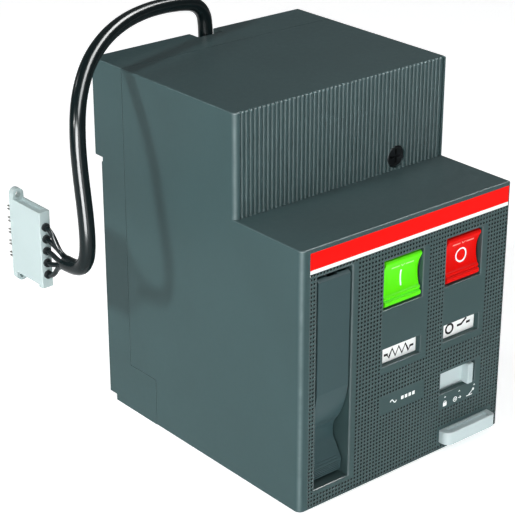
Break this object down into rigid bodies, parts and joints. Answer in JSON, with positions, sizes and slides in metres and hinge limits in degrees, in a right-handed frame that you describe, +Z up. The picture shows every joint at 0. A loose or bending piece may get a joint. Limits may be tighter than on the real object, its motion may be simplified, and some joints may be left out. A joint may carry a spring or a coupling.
{
  "type": "circuit breaker motor operator",
  "caption": "Box-shaped spring-charging operator with a hand lever, ON and OFF buttons, indicator windows, a mode slide, a padlock slide and a short cable with a five-pole plug.",
  "frame": {"origin": "middle of the base of the operator without its cable and plug, on the plane that it rests on", "axes": "+Z up, the operating face looks along -Y, +X to the operator's right"},
  "size_m": [0.18, 0.164, 0.2035],
  "materials": {
    "housing_plastic": "fine-textured dark grey moulded plastic",
    "fascia_plastic": "dark grey plastic with moulded dimples",
    "lever_plastic": "satin dark grey plastic",
    "red_film": "printed red film",
    "white_film": "printed white film",
    "green_plastic": "bright green moulded plastic",
    "red_plastic": "bright red moulded plastic",
    "light_grey_plastic": "light grey moulded plastic",
    "selector_plastic": "grey moulded plastic",
    "label_white": "white indicator plate",
    "plug_plastic": "off-white moulded plastic",
    "cable_black": "glossy black sleeve",
    "seal_black": "black rubber",
    "black_steel": "blackened steel",
    "steel_plate": "zinc-plated sheet steel",
    "turned_steel": "turned steel",
    "spring_steel": "spring wire",
    "bronze": "sintered bronze",
    "cast_zinc": "die-cast",
    "board_green": "coated circuit board",
    "component_dark": "moulded components",
    "contact_metal": "tinned contacts"
  },
  "bodies": {
    "operator": {"front_housing": "housing_plastic", "rear_frame": "housing_plastic", "front_fascia": "fascia_plastic", "red_strip": "red_film", "white_line": "white_film", "lever_pivot_pin": "turned_steel", "lever_return_spring": "spring_steel", "camshaft_bushes": "bronze", "left_side_plate": "steel_plate", "right_side_plate": "steel_plate", "plate_studs": "turned_steel", "spring_base": "cast_zinc", "spring_guide_posts": "turned_steel", "closing_springs": "spring_steel", "charging_motor": "steel_plate", "gear_head": "cast_zinc", "motor_screws": "turned_steel", "carriage_guide_rods": "turned_steel", "rear_mounting_plate": "steel_plate", "plate_screws": "turned_steel", "button_bracket": "steel_plate", "bracket_screws": "turned_steel", "on_button_spring": "spring_steel", "off_button_spring": "spring_steel", "latch_pivot_pin": "turned_steel", "mode_switch": "component_dark", "screw_guide_tube": "turned_steel", "housing_screws": "turned_steel", "control_board": "board_green", "board_components": "component_dark", "terminal_block": "component_dark", "cable_grommet": "seal_black", "cable_sleeve": "cable_black", "connector_wires": "cable_black", "connector_housing": "plug_plastic", "connector_contacts": "contact_metal", "wire_seals": "seal_black"},
    "lever": {"charging_lever": "lever_plastic", "lever_sector": "cast_zinc"},
    "freewheel": {"freewheel_pinion": "turned_steel"},
    "camshaft": {"camshaft": "turned_steel", "freewheel_clutch": "turned_steel", "charging_gear": "cast_zinc", "spring_cam": "turned_steel", "camshaft_circlips": "spring_steel"},
    "crosshead": {"spring_crosshead": "cast_zinc", "roller_axle": "turned_steel"},
    "roller": {"follower_roller": "bronze"},
    "drive": {"drive_pinion": "turned_steel"},
    "carriage": {"toggle_carriage": "cast_zinc"},
    "position_flag": {"position_flag": "label_white"},
    "charge_flag": {"charge_flag": "label_white"},
    "on_button": {"on_button": "green_plastic"},
    "off_button": {"off_button": "red_plastic"},
    "close_latch": {"close_latch": "steel_plate"},
    "open_latch": {"open_latch": "steel_plate"},
    "selector": {"mode_selector": "selector_plastic"},
    "padlock_slide": {"padlock_slide": "light_grey_plastic"},
    "fixing_screw": {"captive_screw": "black_steel", "screw_retaining_clip": "spring_steel"}
  },
  "joints": [
    {"name": "lever_swing", "type": "hinge", "parent": "operator", "child": "lever", "pos_m": [-0.0455, -0.0685, 0.107], "axis": [-1, 0, 0], "range_deg": [0, 50], "stiffness_Nm_per_rad": 0.06, "springref_deg": -20.05},
    {"name": "freewheel_turn", "type": "hinge", "parent": "operator", "child": "freewheel", "pos_m": [-0.046, -0.0301, 0.0958], "axis": [-1, 0, 0], "range_deg": [-117, 0]},
    {"name": "camshaft_turn", "type": "hinge", "parent": "operator", "child": "camshaft", "pos_m": [-0.03, -0.0301, 0.0958], "axis": [1, 0, 0], "range_deg": [0, 300]},
    {"name": "crosshead_drop", "type": "slide", "parent": "operator", "child": "crosshead", "axis": [0, 0, -1], "range_m": [0, 0.01401], "stiffness_N_per_m": 150, "springref_m": -0.01, "deforming": ["closing_springs"]},
    {"name": "roller_spin", "type": "hinge", "parent": "crosshead", "child": "roller", "pos_m": [-0.021, -0.0301, 0.0818], "axis": [1, 0, 0], "continuous": true},
    {"name": "drive_turn", "type": "hinge", "parent": "operator", "child": "drive", "pos_m": [-0.04, 0.00021, 0.1133], "axis": [1, 0, 0], "range_deg": [-576, 0]},
    {"name": "carriage_lift", "type": "slide", "parent": "operator", "child": "carriage", "axis": [0, 0, 1], "range_m": [0, 0.026]},
    {"name": "position_flag_drop", "type": "slide", "parent": "operator", "child": "position_flag", "axis": [0, 0, -1], "range_m": [0, 0.0101]},
    {"name": "charge_flag_drop", "type": "slide", "parent": "operator", "child": "charge_flag", "axis": [0, 0, -1], "range_m": [0, 0.0101]},
    {"name": "on_button_press", "type": "slide", "parent": "operator", "child": "on_button", "axis": [0, 1, 0], "range_m": [0, 0.003], "stiffness_N_per_m": 400, "springref_m": -0.002, "deforming": ["on_button_spring"]},
    {"name": "off_button_press", "type": "slide", "parent": "operator", "child": "off_button", "axis": [0, 1, 0], "range_m": [0, 0.003], "stiffness_N_per_m": 400, "springref_m": -0.002, "deforming": ["off_button_spring"]},
    {"name": "close_latch_turn", "type": "hinge", "parent": "operator", "child": "close_latch", "pos_m": [-0.00325, -0.0395, 0.084], "axis": [-1, 0, 0], "range_deg": [0, 11.51]},
    {"name": "open_latch_turn", "type": "hinge", "parent": "operator", "child": "open_latch", "pos_m": [0.03575, -0.0395, 0.084], "axis": [-1, 0, 0], "range_deg": [0, 11.51]},
    {"name": "selector_shift", "type": "slide", "parent": "operator", "child": "selector", "axis": [1, 0, 0], "range_m": [-0.0174, 0]},
    {"name": "padlock_pull", "type": "slide", "parent": "operator", "child": "padlock_slide", "axis": [0, -1, 0], "range_m": [0, 0.016]},
    {"name": "screw_turn", "type": "hinge", "parent": "operator", "child": "fixing_screw", "pos_m": [0.034, -0.0135, 0.1365], "axis": [0, -1, 0], "continuous": true}
  ],
  "couplings": [
    {"joint": "freewheel_turn", "follows": "lever_swing", "ratio": -2.3333},
    {"joint": "crosshead_drop", "follows": "camshaft_turn", "m_per_rad": 0.0026738},
    {"joint": "charge_flag_drop", "follows": "camshaft_turn", "m_per_rad": 0.0019099},
    {"joint": "drive_turn", "follows": "camshaft_turn", "ratio": -1.9167},
    {"joint": "position_flag_drop", "follows": "carriage_lift", "ratio": 0.38461},
    {"joint": "close_latch_turn", "follows": "on_button_press", "rad_per_m": 66.904},
    {"joint": "open_latch_turn", "follows": "off_button_press", "rad_per_m": 66.904}
  ]
}
